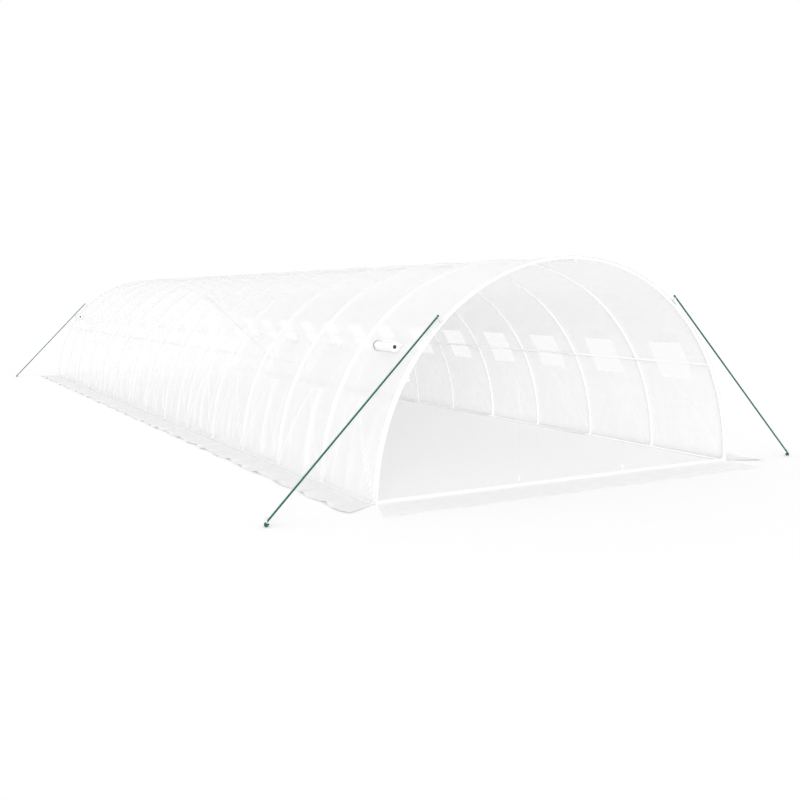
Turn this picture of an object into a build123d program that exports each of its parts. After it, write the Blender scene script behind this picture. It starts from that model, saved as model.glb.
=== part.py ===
from build123d import *
import math
import os

# Polytunnel greenhouse: half-round steel hoops under a translucent film cover.
# Frame: X across the tunnel, Y along it with the front end at -Y, Z up from the ground.
# The origin is on the ground, in the middle of the tunnel.

# Covered size: the cover is half round, so its height is half its span
LENGTH = 14000.0
SPAN = 4000.0
BAYS = 14

# Cover film, and the clearances between pieces that lie together
FILM = 3.0
SEAT_GAP = 0.3
JOINT_GAP = 0.2
OVERRUN = 40.0
ROOF_SEAM_ANGLE = 60.0

# Hoops of bent tube in equal sections, and the straight tubes that tie them.
# With so many hoops, each bend is drawn in short straight runs and each tube with few sides.
HOOP_TUBE = 25.0
HOOP_SIDES = 6
HOOP_SECTIONS = 6
SECTION_RUNS = 5
RAIL_TUBE = 20.0
ROUND_SIDES = 12

# Mesh windows, one in each bay on both sides, each with its flap rolled up above it
WINDOW_WIDTH = 450.0
WINDOW_HEIGHT = 440.0
ROLL_LENGTH = 360.0
ROLL_DIAMETER = 90.0
ROLL_SIDES = 8

# Zipped doors in the end panels: the headroom is the film left above the doorway
DOOR_WIDTH = 1200.0
DOOR_HEADROOM = 300.0
DOOR_CORNER = 180.0

# Skirts of film that lie on the ground round the tunnel
SIDE_SKIRT = 350.0
END_SKIRT = 430.0
SIDE_SKIRT_FLARE = 190.0
END_SKIRT_FLARE = 180.0
SKIRT_CORNER_GAP = 5.0

# Guy ropes at the four corners, with their tabs on the cover and their ground pegs.
# The right ropes are tied higher up the arch than the left ones.
LEFT_GUY_ANGLE = 46.0
RIGHT_GUY_ANGLE = 53.0
ROPE = 14.0
TAB_LENGTH = 45.0
TAB_WIDTH = 40.0
TAB_THICKNESS = 4.0
TAB_END_GAP = 0.5
ROPE_TAIL = 20.0
FAR_PEG_OUT = 1020.0
FAR_PEG_AHEAD = 240.0
NEAR_PEG_OUT = 795.0
NEAR_PEG_AHEAD = 100.0
PEG_DIAMETER = 12.0
PEG_HEIGHT = 70.0
PEG_CHAMFER = 2.0
TIE_HEIGHT = 35.0
TIE_FOOT = 6.0

# Worked out from the sizes above
RADIUS = SPAN / 2
HALF_LENGTH = LENGTH / 2
FILM_INNER = RADIUS - FILM
HOOP_RADIUS = FILM_INNER - SEAT_GAP - HOOP_TUBE / 2
HOOP_INNER = HOOP_RADIUS - HOOP_TUBE / 2
HOOP_HALF_WIDTH = HOOP_TUBE / 2 / math.cos(math.pi / HOOP_SIDES)
END_HOOP_Y = HALF_LENGTH - FILM - SEAT_GAP - HOOP_HALF_WIDTH
PITCH = 2 * END_HOOP_Y / BAYS
HOOP_PLACES = [PITCH * hoop - END_HOOP_Y for hoop in range(BAYS + 1)]
BAY_CENTRES = [place + PITCH / 2 for place in HOOP_PLACES[:-1]]
RAIL_RADIUS = HOOP_INNER - SEAT_GAP - RAIL_TUBE / 2
SECTION_ANGLE = 180.0 / HOOP_SECTIONS
HALF_RUN = math.radians(SECTION_ANGLE / SECTION_RUNS / 2)
GROUND_TUBE_X = RAIL_RADIUS - RAIL_TUBE * math.tan(HALF_RUN)
WINDOW_ANGLE = math.degrees(WINDOW_HEIGHT / RADIUS)
DOOR_HEIGHT = RADIUS - DOOR_HEADROOM
GUY_RADIUS = RADIUS + JOINT_GAP + TAB_LENGTH + TAB_END_GAP + ROPE / 2

# Turning about this axis lifts +X towards +Z
ARCH_AXIS = Axis((0, 0, 0), (0, -1, 0))


def angle_of(length, radius):
    """Angle in degrees that a length takes up on an arc."""
    return math.degrees(length / radius)


def on_arch(radius, angle, y):
    """Point at a radius and angle, measured up from the ground on the +X side."""
    turn = math.radians(angle)
    return Vector(radius * math.cos(turn), y, radius * math.sin(turn))


def arch_sweep(profile, start, sweep):
    """Sweeps a flat profile, drawn on the ground plane, up round the arch."""
    return Rot(0, -start, 0) * revolve(profile, ARCH_AXIS, revolution_arc=sweep)


def film_arc(radial, width, y, start, sweep):
    """Band of the cover: its thickness, its width along the tunnel and its angles."""
    profile = Pos(RADIUS - FILM / 2, y) * Rectangle(radial, width)
    return arch_sweep(profile, start, sweep)


def round_outline(diameter, sides):
    """Few-sided outline about a circle, with a flat at each quarter turn or on +X."""
    return RegularPolygon(diameter / 2, sides, major_radius=False, rotation=180 / sides)


def tube(start, end, diameter):
    """Straight tube from one point to another."""
    run = end - start
    plane = Plane(origin=start, z_dir=run)
    return extrude(plane * round_outline(diameter, ROUND_SIDES), run.length)


def to_left(shape):
    """The same piece on the -X side."""
    return mirror(shape, Plane.YZ)


def to_rear(shape):
    """The same piece at the +Y end."""
    return mirror(shape, Plane.XZ)


def save(name, shapes):
    """Writes one named piece, of one or more solids."""
    solids = [solid for shape in shapes for solid in shape.solids()]
    piece = solids[0] if len(solids) == 1 else Compound(children=solids)
    piece.label = name
    export_step(piece, os.path.join("parts", name + ".step"))


def hoop():
    """Bent tube sections, end to end round the half circle."""
    profile = Pos(HOOP_RADIUS, 0) * round_outline(HOOP_TUBE, HOOP_SIDES)
    gap = angle_of(JOINT_GAP, HOOP_RADIUS)
    sweep = (180.0 - gap * (HOOP_SECTIONS - 1)) / HOOP_SECTIONS
    sections = []
    for section in range(HOOP_SECTIONS):
        start = (sweep + gap) * section
        angles = [start + sweep * run / SECTION_RUNS for run in range(SECTION_RUNS + 1)]
        sections.append(loft([Rot(0, -angle, 0) * profile for angle in angles], ruled=True))
    return sections


def long_tube(angle):
    """Tube along the tunnel, under the hoops at an angle of the arch."""
    end = END_HOOP_Y + HOOP_HALF_WIDTH
    return tube(on_arch(RAIL_RADIUS, angle, -end), on_arch(RAIL_RADIUS, angle, end), RAIL_TUBE)


def ground_tube():
    """Tube on the ground, along the inside of the hoop feet."""
    end = END_HOOP_Y + HOOP_HALF_WIDTH
    lift = RAIL_TUBE / 2
    return tube(Vector(GROUND_TUBE_X, -end, lift), Vector(GROUND_TUBE_X, end, lift), RAIL_TUBE)


def end_ground_tube():
    """Tube on the ground across the front end, between the two side tubes."""
    reach = GROUND_TUBE_X - RAIL_TUBE / 2 - SEAT_GAP
    lift = RAIL_TUBE / 2
    return tube(Vector(-reach, -END_HOOP_Y, lift), Vector(reach, -END_HOOP_Y, lift), RAIL_TUBE)


def wall_film():
    """Side of the cover from the ground to the roof seam, with its windows cut through."""
    start = SECTION_ANGLE - WINDOW_ANGLE / 2
    wall = film_arc(FILM, LENGTH, 0, 0, ROOF_SEAM_ANGLE)
    cuts = [film_arc(FILM + OVERRUN, WINDOW_WIDTH, y, start, WINDOW_ANGLE) for y in BAY_CENTRES]
    return wall - cuts


def window_meshes():
    """Mesh panel in each window, sewn in along its edges."""
    gap = angle_of(JOINT_GAP, RADIUS)
    start = SECTION_ANGLE - WINDOW_ANGLE / 2 + gap
    width = WINDOW_WIDTH - 2 * JOINT_GAP
    return [film_arc(FILM, width, y, start, WINDOW_ANGLE - 2 * gap) for y in BAY_CENTRES]


def window_rolls():
    """Rolled flap, tied up along the top edge of each window."""
    angle = SECTION_ANGLE + WINDOW_ANGLE / 2 + angle_of(ROLL_DIAMETER / 2, RADIUS)
    outline = round_outline(ROLL_DIAMETER, ROLL_SIDES)
    profile = Plane.XZ * Pos(RADIUS + SEAT_GAP + ROLL_DIAMETER / 2, 0) * outline
    roll = Rot(0, -angle, 0) * extrude(profile, ROLL_LENGTH / 2, both=True)
    return [Pos(0, y, 0) * roll for y in BAY_CENTRES]


def door_outline(gap):
    """Doorway standing on the ground with rounded top corners, drawn smaller by a gap."""
    width = DOOR_WIDTH - 2 * gap
    height = DOOR_HEIGHT - gap
    outline = Pos(0, height / 2) * Rectangle(width, height)
    top_corners = outline.vertices().group_by(Axis.Y)[-1]
    return fillet(top_corners, DOOR_CORNER - gap)


def end_sheet(outline):
    """Sheet of film upright across the front end."""
    return extrude(Plane.XZ.offset(HALF_LENGTH) * outline, -FILM)


def end_panel():
    """Half-round end of the cover round its doorway."""
    radius = FILM_INNER - SEAT_GAP
    below = Pos(0, -radius / 2) * Rectangle(2 * radius, radius)
    return end_sheet(Circle(radius) - below - door_outline(0))


def skirt(points):
    """Flap of film flat on the ground."""
    return extrude(make_face(Polyline(*points, close=True)), FILM)


def side_skirt():
    """Flap along the right wall, wider at its outer edge."""
    outer = RADIUS + SIDE_SKIRT
    flared = HALF_LENGTH + SIDE_SKIRT_FLARE
    return skirt([(RADIUS, -HALF_LENGTH), (outer, -flared), (outer, flared), (RADIUS, HALF_LENGTH)])


def end_skirt():
    """Flap along the front end, wider at its outer edge."""
    half = RADIUS - SKIRT_CORNER_GAP
    outer = -HALF_LENGTH - END_SKIRT
    flared = half + END_SKIRT_FLARE
    return skirt([(-half, -HALF_LENGTH), (-flared, outer), (flared, outer), (half, -HALF_LENGTH)])


def rope_tab(angle):
    """Webbing tab that stands out of the cover at the first hoop."""
    centre = RADIUS + JOINT_GAP + TAB_LENGTH / 2
    tab = Pos(centre, HOOP_PLACES[0], 0) * Box(TAB_LENGTH, TAB_WIDTH, TAB_THICKNESS)
    return Rot(0, -angle, 0) * tab


def tie_place(out, ahead):
    """Where a front right rope is tied to a peg that stands out from the wall and ahead of the end."""
    return Vector(RADIUS + out, -HALF_LENGTH - ahead, TIE_HEIGHT)


def upright(place, foot, top, diameter):
    """Round bar standing at a peg's place, from one height to another."""
    return tube(Vector(place.X, place.Y, foot), Vector(place.X, place.Y, top), diameter)


def guy_rope(angle, place):
    """Taut rope over the end of its tab and down to the peg, its turns round the peg as one sleeve."""
    top = on_arch(GUY_RADIUS, angle, HOOP_PLACES[0])
    way = (place - top).normalized()
    sleeve = upright(place, TIE_FOOT, TIE_HEIGHT + ROPE / 2, PEG_DIAMETER + 2 * ROPE)
    hole = upright(place, -OVERRUN, PEG_HEIGHT + OVERRUN, PEG_DIAMETER + 2 * JOINT_GAP)
    return tube(top - way * ROPE_TAIL, place, ROPE) + sleeve - hole


def ground_peg(place):
    """Steel peg, from the ground up."""
    peg = upright(place, 0, PEG_HEIGHT, PEG_DIAMETER)
    return chamfer(peg.faces().sort_by(Axis.Z)[-1].edges(), PEG_CHAMFER)


def to_corner(shape, corner):
    """Front right shape, mirrored to the corner that is named."""
    if corner.endswith("left"):
        shape = to_left(shape)
    if corner.startswith("rear"):
        shape = to_rear(shape)
    return shape


os.makedirs("parts", exist_ok=True)

one_hoop = hoop()
for number, place in enumerate(HOOP_PLACES, start=1):
    save(f"hoop_{number:02d}", [Pos(0, place, 0) * section for section in one_hoop])

save("ridge_tube", [long_tube(90)])
side_pieces = {
    "side_tube": [long_tube(SECTION_ANGLE)],
    "ground_tube": [ground_tube()],
    "wall_film": [wall_film()],
    "window_meshes": window_meshes(),
    "window_rolls": window_rolls(),
    "skirt": [side_skirt()],
}
for name, shapes in side_pieces.items():
    save("right_" + name, shapes)
    save("left_" + name, [to_left(shape) for shape in shapes])

save("roof_film", [film_arc(FILM, LENGTH, 0, ROOF_SEAM_ANGLE, 180.0 - 2 * ROOF_SEAM_ANGLE)])

end_pieces = {
    "ground_tube": end_ground_tube(),
    "panel": end_panel(),
    "door": end_sheet(door_outline(JOINT_GAP)),
    "skirt": end_skirt(),
}
for name, shape in end_pieces.items():
    save("front_" + name, [shape])
    save("rear_" + name, [to_rear(shape)])

far_peg = tie_place(FAR_PEG_OUT, FAR_PEG_AHEAD)
near_peg = tie_place(NEAR_PEG_OUT, NEAR_PEG_AHEAD)
corners = {
    "front_right": (RIGHT_GUY_ANGLE, near_peg),
    "front_left": (LEFT_GUY_ANGLE, far_peg),
    "rear_right": (RIGHT_GUY_ANGLE, far_peg),
    "rear_left": (LEFT_GUY_ANGLE, near_peg),
}
tabs = []
pegs = []
for corner, (angle, place) in corners.items():
    save(corner + "_rope", [to_corner(guy_rope(angle, place), corner)])
    tabs.append(to_corner(rope_tab(angle), corner))
    pegs.append(to_corner(ground_peg(place), corner))
save("rope_tabs", tabs)
save("ground_pegs", pegs)
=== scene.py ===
# %% [markdown]
# # A polytunnel greenhouse
# A long half-round tunnel: white steel hoops, a translucent film pulled over them, mesh windows along both
# sides, film ends with zipped doors, film skirts on the ground and four taut guy ropes. The bare structure
# is loaded first, as a fixed frame in metres. Everything below dresses it.

# %% Load the frame
import math

import bpy
import numpy as np
from mathutils import Matrix, Vector


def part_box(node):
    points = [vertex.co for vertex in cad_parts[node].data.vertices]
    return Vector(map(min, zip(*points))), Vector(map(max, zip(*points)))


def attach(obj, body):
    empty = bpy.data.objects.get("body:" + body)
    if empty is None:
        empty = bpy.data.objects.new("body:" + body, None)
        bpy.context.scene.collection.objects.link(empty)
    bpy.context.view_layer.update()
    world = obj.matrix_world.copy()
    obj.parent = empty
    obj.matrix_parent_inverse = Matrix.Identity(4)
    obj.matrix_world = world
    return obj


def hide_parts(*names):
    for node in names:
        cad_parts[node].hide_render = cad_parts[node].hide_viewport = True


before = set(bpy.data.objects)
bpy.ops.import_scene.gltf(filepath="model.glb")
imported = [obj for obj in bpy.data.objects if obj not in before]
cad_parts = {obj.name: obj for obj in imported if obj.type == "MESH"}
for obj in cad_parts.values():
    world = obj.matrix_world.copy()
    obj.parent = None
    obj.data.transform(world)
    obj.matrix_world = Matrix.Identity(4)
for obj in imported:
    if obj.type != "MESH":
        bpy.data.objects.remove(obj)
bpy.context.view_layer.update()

# %% [markdown]
# ## Sizes
# The tunnel is ruled by one circle and one pitch: the cover's radius, and the distance from hoop to hoop.
# Both are read from the frame, so the dressing can't drift away from the structure.

# %% Read the main sizes
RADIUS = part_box("roof_film")[1].z
HALF_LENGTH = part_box("roof_film")[1].y
HOOP_TUBE = 0.025
RAIL_TUBE = 0.020
FILM_GAP = 0.0015
SIDES = (("left", -1), ("right", 1))
ENDS = (("front", -1), ("rear", 1))

hoop_names = sorted(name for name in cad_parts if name.startswith("hoop_"))
hoop_places = [sum(corner.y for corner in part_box(name)) / 2 for name in hoop_names]
PITCH = hoop_places[1] - hoop_places[0]
bay_centres = [place + PITCH / 2 for place in hoop_places[:-1]]

HOOP_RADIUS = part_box("hoop_01")[1].z - HOOP_TUBE / 2
RAIL_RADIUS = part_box("ridge_tube")[1].z - RAIL_TUBE / 2
COVER_RADIUS = RADIUS - FILM_GAP

window_low, window_high = (math.asin(corner.z / RADIUS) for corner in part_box("right_window_meshes"))
WINDOW_WIDTH = 2 * (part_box("right_window_meshes")[1].y - bay_centres[-1])
print(f"hoops {len(hoop_places)}, pitch {PITCH:.4f}, windows {math.degrees(window_low):.1f} to "
      f"{math.degrees(window_high):.1f} degrees, {WINDOW_WIDTH:.3f} wide")

# %% [markdown]
# ## Camera
# The viewpoint was fitted to the photograph: a person's eye height, in front of the left corner, looking
# along the tunnel. The lens is a little longer than normal, with no shift and no depth of field.

# %% Set up the camera
EYE = (-5.438, -13.401, 1.647)
TURN_RIGHT = 29.75
TILT_DOWN = 6.36
LENS = 41.93
FARTHEST_VIEW = 500

camera_data = bpy.data.cameras.new("photo_view")
camera_data.lens = LENS
camera_data.clip_end = FARTHEST_VIEW
camera = bpy.data.objects.new("photo_view", camera_data)
camera.location = EYE
camera.rotation_euler = (math.radians(90 - TILT_DOWN), 0, math.radians(-TURN_RIGHT))
bpy.context.scene.collection.objects.link(camera)
bpy.context.scene.camera = camera
bpy.context.scene.view_settings.view_transform = "Standard"
print("camera at", EYE)

# %% [markdown]
# ## Light and floor
# White film on a white ground needs a plain, even light, or its folds burn out. A pale sky gives most of
# it, and one broad soft sun from the front left gives the tubes and folds a side. The sky is drawn pure
# white where it is looked at, so the background is white without more light on the object.

# %% Light the set
SKY_STRENGTH = 0.97
SUN_STRENGTH = 1.36
SUN_HEIGHT = 11
SUN_TURN = -32
SUN_SOFTNESS = 20

world = bpy.data.worlds.new("pale_sky")
bpy.context.scene.world = world
world.use_nodes = True
sky = world.node_tree
background = sky.nodes["Background"]
background.inputs["Color"].default_value = (1, 1, 1, 1)
light_path = sky.nodes.new("ShaderNodeLightPath")
seen = light_path.outputs["Is Camera Ray"]
for ray in ("Is Glossy Ray", "Is Transmission Ray"):
    either = sky.nodes.new("ShaderNodeMath")
    either.operation = "MAXIMUM"
    sky.links.new(seen, either.inputs[0])
    sky.links.new(light_path.outputs[ray], either.inputs[1])
    seen = either.outputs[0]
strength = sky.nodes.new("ShaderNodeMapRange")
strength.inputs["To Min"].default_value = SKY_STRENGTH
strength.inputs["To Max"].default_value = 1.0
sky.links.new(seen, strength.inputs["Value"])
sky.links.new(strength.outputs["Result"], background.inputs["Strength"])

sun_data = bpy.data.lights.new("soft_sun", "SUN")
sun_data.energy = SUN_STRENGTH
sun_data.angle = math.radians(SUN_SOFTNESS)
sun = bpy.data.objects.new("soft_sun", sun_data)
sun.rotation_euler = (math.radians(90 - SUN_HEIGHT), 0, math.radians(SUN_TURN))
bpy.context.scene.collection.objects.link(sun)
print("sun", SUN_STRENGTH, "sky", SKY_STRENGTH)

# %% Lay the floor
FLOOR_SIZE = 400
FLOOR_WHITE = (0.955, 0.955, 0.955, 1)


def deselect():
    """Leaves nothing selected, so that the next operator acts on the new piece alone."""
    bpy.ops.object.select_all(action="DESELECT")


deselect()
bpy.ops.mesh.primitive_plane_add(size=FLOOR_SIZE)
floor = bpy.context.object
floor.name = "studio_floor"
floor_paint = bpy.data.materials.new("studio_white")
floor_paint.use_nodes = True
floor_shader = floor_paint.node_tree.nodes["Principled BSDF"]
floor_shader.inputs["Base Color"].default_value = FLOOR_WHITE
floor_shader.inputs["Roughness"].default_value = 0.9
floor_shader.inputs["Specular IOR Level"].default_value = 0.0
floor.data.materials.append(floor_paint)
print("floor", FLOOR_SIZE, "m across")

# %% [markdown]
# ## Shader groups
# Three effects turn up in several finishes, so each is built once as a node group. **Cloud** is a soft
# uneven mask, for haze in film and for dust. **Threads** is a grid of yarns on the cloth's own map, for the
# scrim in the film and for the window net. **Bands** is a row of evenly spaced strips, for the film that
# lies on the hoops.

# %% Helpers for node trees
def add_node(tree, kind, settings=None, **inputs):
    """New node with its settings, and its inputs set to values or joined to other sockets."""
    made = tree.nodes.new(kind)
    for name, value in (settings or {}).items():
        setattr(made, name, value)
    for name, value in inputs.items():
        key = int(name[1:]) if name[0] == "i" and name[1:].isdigit() else name.replace("_", " ")
        if isinstance(value, bpy.types.NodeSocket):
            tree.links.new(value, made.inputs[key])
        else:
            made.inputs[key].default_value = value
    return made


def maths(tree, operation, first, second):
    """Result socket of one math step."""
    return add_node(tree, "ShaderNodeMath", {"operation": operation}, i0=first, i1=second).outputs[0]


def new_group(name, inputs, outputs):
    """Empty shader group with its named sockets: (name, kind, value) for each input."""
    group = bpy.data.node_groups.new(name, "ShaderNodeTree")
    for label, kind, value in inputs:
        socket = group.interface.new_socket(label, in_out="INPUT", socket_type=kind)
        if value is not None:
            socket.default_value = value
    for label, kind in outputs:
        group.interface.new_socket(label, in_out="OUTPUT", socket_type=kind)
    return group, group.nodes.new("NodeGroupInput"), group.nodes.new("NodeGroupOutput")


def use_group(tree, group, **inputs):
    """Places a group in a material, with its own values."""
    return add_node(tree, "ShaderNodeGroup", {"node_tree": group}, **inputs)


# %% Cloud: a soft uneven mask
cloud, group_in, group_out = new_group(
    "Cloud",
    [("Vector", "NodeSocketVector", None), ("Scale", "NodeSocketFloat", 3.0),
     ("Contrast", "NodeSocketFloat", 1.0)],
    [("Mask", "NodeSocketFloat")],
)
noise = add_node(cloud, "ShaderNodeTexNoise", None, Vector=group_in.outputs["Vector"],
                 Scale=group_in.outputs["Scale"], Detail=5.0, Roughness=0.62)
centred = maths(cloud, "SUBTRACT", noise.outputs["Fac"], 0.5)
spread = maths(cloud, "MULTIPLY", centred, group_in.outputs["Contrast"])
lifted = add_node(cloud, "ShaderNodeMath", {"operation": "ADD", "use_clamp": True}, i0=spread, i1=0.5)
cloud.links.new(lifted.outputs[0], group_out.inputs["Mask"])
print("group", cloud.name)

# %% Threads: a grid of yarns
threads, group_in, group_out = new_group(
    "Threads",
    [("Map", "NodeSocketVector", None), ("Spacing", "NodeSocketFloat", 0.01),
     ("Share", "NodeSocketFloat", 0.2)],
    [("Mask", "NodeSocketFloat"), ("Height", "NodeSocketFloat")],
)
split = add_node(threads, "ShaderNodeSeparateXYZ", None, Vector=group_in.outputs["Map"])
yarns = []
for axis in ("X", "Y"):
    step = maths(threads, "DIVIDE", split.outputs[axis], group_in.outputs["Spacing"])
    swing = maths(threads, "PINGPONG", step, 0.5)
    yarns.append(maths(threads, "MULTIPLY", swing, 2.0))
nearest = maths(threads, "MINIMUM", yarns[0], yarns[1])
is_yarn = maths(threads, "LESS_THAN", nearest, group_in.outputs["Share"])
crown = add_node(threads, "ShaderNodeMapRange", None, Value=nearest, From_Min=0.0,
                 From_Max=group_in.outputs["Share"], To_Min=1.0, To_Max=0.0)
threads.links.new(is_yarn, group_out.inputs["Mask"])
threads.links.new(crown.outputs["Result"], group_out.inputs["Height"])
print("group", threads.name)

# %% Bands: evenly spaced strips
bands, group_in, group_out = new_group(
    "Bands",
    [("Along", "NodeSocketFloat", 0.0), ("First", "NodeSocketFloat", 0.0), ("Pitch", "NodeSocketFloat", 1.0),
     ("Half Width", "NodeSocketFloat", 0.04), ("Soft", "NodeSocketFloat", 0.01)],
    [("Mask", "NodeSocketFloat")],
)
start = maths(bands, "SUBTRACT", group_in.outputs["Along"], group_in.outputs["First"])
half_pitch = maths(bands, "MULTIPLY", group_in.outputs["Pitch"], 0.5)
away = maths(bands, "PINGPONG", start, half_pitch)
outer = maths(bands, "ADD", group_in.outputs["Half Width"], group_in.outputs["Soft"])
inner = maths(bands, "SUBTRACT", group_in.outputs["Half Width"], group_in.outputs["Soft"])
fade = add_node(bands, "ShaderNodeMapRange", {"interpolation_type": "SMOOTHSTEP"}, Value=away,
                From_Min=inner, From_Max=outer, To_Min=1.0, To_Max=0.0)
bands.links.new(fade.outputs["Result"], group_out.inputs["Mask"])
print("group", bands.name)

# %% [markdown]
# ## Finishes
# The film is milky polythene with a fine scrim in it. What makes it look like film is how much shows
# through, so its opacity carries the story: it is low on the flat, and higher where the film is folded or
# sewn double. Over each hoop it is made denser and whiter as a painted highlight, for the light that the
# white tube throws back through it, and these bands fade out down the right side. Opacity differs by side
# too: from inside, the cover gets milkier down the walls, so little shows of what stands behind them, and
# its inner face is painted a darker grey as painted shade, for the dim inside of the tunnel. The tubes are
# powder coated steel, the ropes green polypropylene.

# %% Opacity by side, and colour by side as painted shade
def grey(tone):
    """Neutral colour of one tone."""
    return (tone, tone, tone)


def new_material(name):
    """Material with its node tree and its one shader."""
    material = bpy.data.materials.new(name)
    material.use_nodes = True
    return material, material.node_tree, material.node_tree.nodes["Principled BSDF"]


def by_side(tree, outside, inside, shade):
    """Opacity as seen from outside, from inside and by the light that falls on it."""
    back = add_node(tree, "ShaderNodeNewGeometry").outputs["Backfacing"]
    looked_at = add_node(tree, "ShaderNodeLightPath").outputs["Is Camera Ray"]
    side = add_node(tree, "ShaderNodeMix", {"data_type": "FLOAT"}, i0=back, i2=outside, i3=inside).outputs[0]
    return add_node(tree, "ShaderNodeMix", {"data_type": "FLOAT"}, i0=looked_at, i2=shade, i3=side).outputs[0]


def by_face(tree, colour, shaded_inside):
    """Colour of the outer face and of the inner one; the darker inner colour is painted shade."""
    back = add_node(tree, "ShaderNodeNewGeometry").outputs["Backfacing"]
    faces = add_node(tree, "ShaderNodeMix", {"data_type": "RGBA"}, Factor=back)
    faces.inputs["A"].default_value = (*colour, 1)
    faces.inputs["B"].default_value = (*shaded_inside, 1)
    return faces.outputs["Result"]


# %% Film
WALL_LENGTH = COVER_RADIUS * math.pi / 2
SCRIM_SPACING, SCRIM_SHARE = 0.012, 0.16
SCRIM_MILK, SCRIM_RELIEF = 0.08, 0.15
HAZE_SCALE, HAZE_CONTRAST, HAZE_MILK = 1.7, 1.4, 0.12
CRINKLE_SCALE = 16.0
HOOP_BAND, BAND_SOFT = 0.034, 0.012
BAND_FULL_TO, BAND_GONE_FROM = 0.4, 1.4
CLEAR_DOWN_TO, MILKY_FROM = 0.9, 1.7
DUST_WIDTH, DUST_OPACITY = 0.06, 0.86
DENSE_FILM = (*grey(0.955), 1)
GROUND_FILM = (0.93, 0.93, 0.925, 1)
FILM_SHINE = 0.25


def film_finish(name, outside, inside, shade, colour, shaded_inside=None, low_inside=None, on_hoops=0.0,
                in_folds=0.4, roughness=0.32, ground_from=0.0):
    """Film: opacity by side, painted shade inside, painted highlight on hoops, denser in folds, dusty on the
    ground.
    """
    material, tree, shader = new_material(name)
    cloth_map = add_node(tree, "ShaderNodeUVMap", {"uv_map": "Cloth"}).outputs["UV"]
    place = add_node(tree, "ShaderNodeTexCoord").outputs["Object"]
    fold = add_node(tree, "ShaderNodeAttribute", {"attribute_name": "fold"}).outputs["Fac"]
    scrim = use_group(tree, threads, Map=cloth_map, Spacing=SCRIM_SPACING, Share=SCRIM_SHARE)
    haze = use_group(tree, cloud, Vector=place, Scale=HAZE_SCALE, Contrast=HAZE_CONTRAST).outputs["Mask"]
    crinkle = use_group(tree, cloud, Vector=place, Scale=CRINKLE_SCALE, Contrast=1.0).outputs["Mask"]
    white = maths(tree, "MULTIPLY", fold, in_folds)
    split = add_node(tree, "ShaderNodeSeparateXYZ", None, Vector=cloth_map)
    # painted highlight: over each hoop the film is made denser and whiter, for light that the white tube
    # throws back through it; the band fades out down the right side
    if on_hoops:
        strip = use_group(tree, bands, Along=split.outputs["X"], First=hoop_places[0], Pitch=PITCH,
                          Half_Width=HOOP_BAND, Soft=BAND_SOFT).outputs["Mask"]
        highlight_fade = add_node(tree, "ShaderNodeMapRange", None, Value=split.outputs["Y"], From_Min=BAND_FULL_TO,
                         From_Max=BAND_GONE_FROM, To_Min=on_hoops, To_Max=0.0)
        white = maths(tree, "ADD", white, maths(tree, "MULTIPLY", strip, highlight_fade.outputs["Result"]))
    milk = maths(tree, "MULTIPLY", maths(tree, "SUBTRACT", haze, 0.5), HAZE_MILK)
    milk = maths(tree, "ADD", milk, maths(tree, "MULTIPLY", scrim.outputs["Mask"], SCRIM_MILK))
    from_inside = inside
    if low_inside:
        from_ridge = maths(tree, "ABSOLUTE", split.outputs["Y"], 0.0)
        from_inside = add_node(tree, "ShaderNodeMapRange", None, Value=from_ridge, From_Min=CLEAR_DOWN_TO,
                               From_Max=MILKY_FROM, To_Min=inside, To_Max=low_inside).outputs["Result"]
    base = by_side(tree, outside, from_inside, shade)
    milk = maths(tree, "ADD", base, maths(tree, "MULTIPLY", milk, base))
    alpha = add_node(tree, "ShaderNodeMath", {"operation": "ADD", "use_clamp": True}, i0=milk, i1=white)
    tint = add_node(tree, "ShaderNodeMix", {"data_type": "RGBA"}, Factor=alpha.outputs[0])
    tint.inputs["B"].default_value = DENSE_FILM
    # painted shade: seen from inside, the film takes the darker inner colour
    if shaded_inside:
        tree.links.new(by_face(tree, colour, shaded_inside), tint.inputs["A"])
    else:
        tint.inputs["A"].default_value = (*colour, 1)
    rough = add_node(tree, "ShaderNodeMapRange", None, Value=haze, To_Min=roughness - 0.08,
                     To_Max=roughness + 0.12)
    height = maths(tree, "ADD", maths(tree, "MULTIPLY", scrim.outputs["Height"], SCRIM_RELIEF), crinkle)
    bump = add_node(tree, "ShaderNodeBump", None, Strength=0.25, Distance=0.004, Height=height)
    colour_out = tint.outputs["Result"]
    if ground_from:
        far = maths(tree, "SUBTRACT", maths(tree, "ABSOLUTE", split.outputs["Y"], 0.0), ground_from)
        dust = add_node(tree, "ShaderNodeMapRange", None, Value=far, From_Max=DUST_WIDTH).outputs["Result"]
        soiled = add_node(tree, "ShaderNodeMix", {"data_type": "RGBA"}, Factor=dust, A=colour_out)
        soiled.inputs["B"].default_value = GROUND_FILM
        colour_out = soiled.outputs["Result"]
        alpha = add_node(tree, "ShaderNodeMath", {"operation": "MAXIMUM"}, i0=alpha.outputs[0],
                         i1=maths(tree, "MULTIPLY", dust, DUST_OPACITY))
    shader.inputs["Specular IOR Level"].default_value = FILM_SHINE
    tree.links.new(colour_out, shader.inputs["Base Color"])
    tree.links.new(rough.outputs["Result"], shader.inputs["Roughness"])
    tree.links.new(alpha.outputs[0], shader.inputs["Alpha"])
    tree.links.new(bump.outputs["Normal"], shader.inputs["Normal"])
    print("finish", name, "opacity from outside", outside, "from inside", inside, "for light", shade)
    return material


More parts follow.
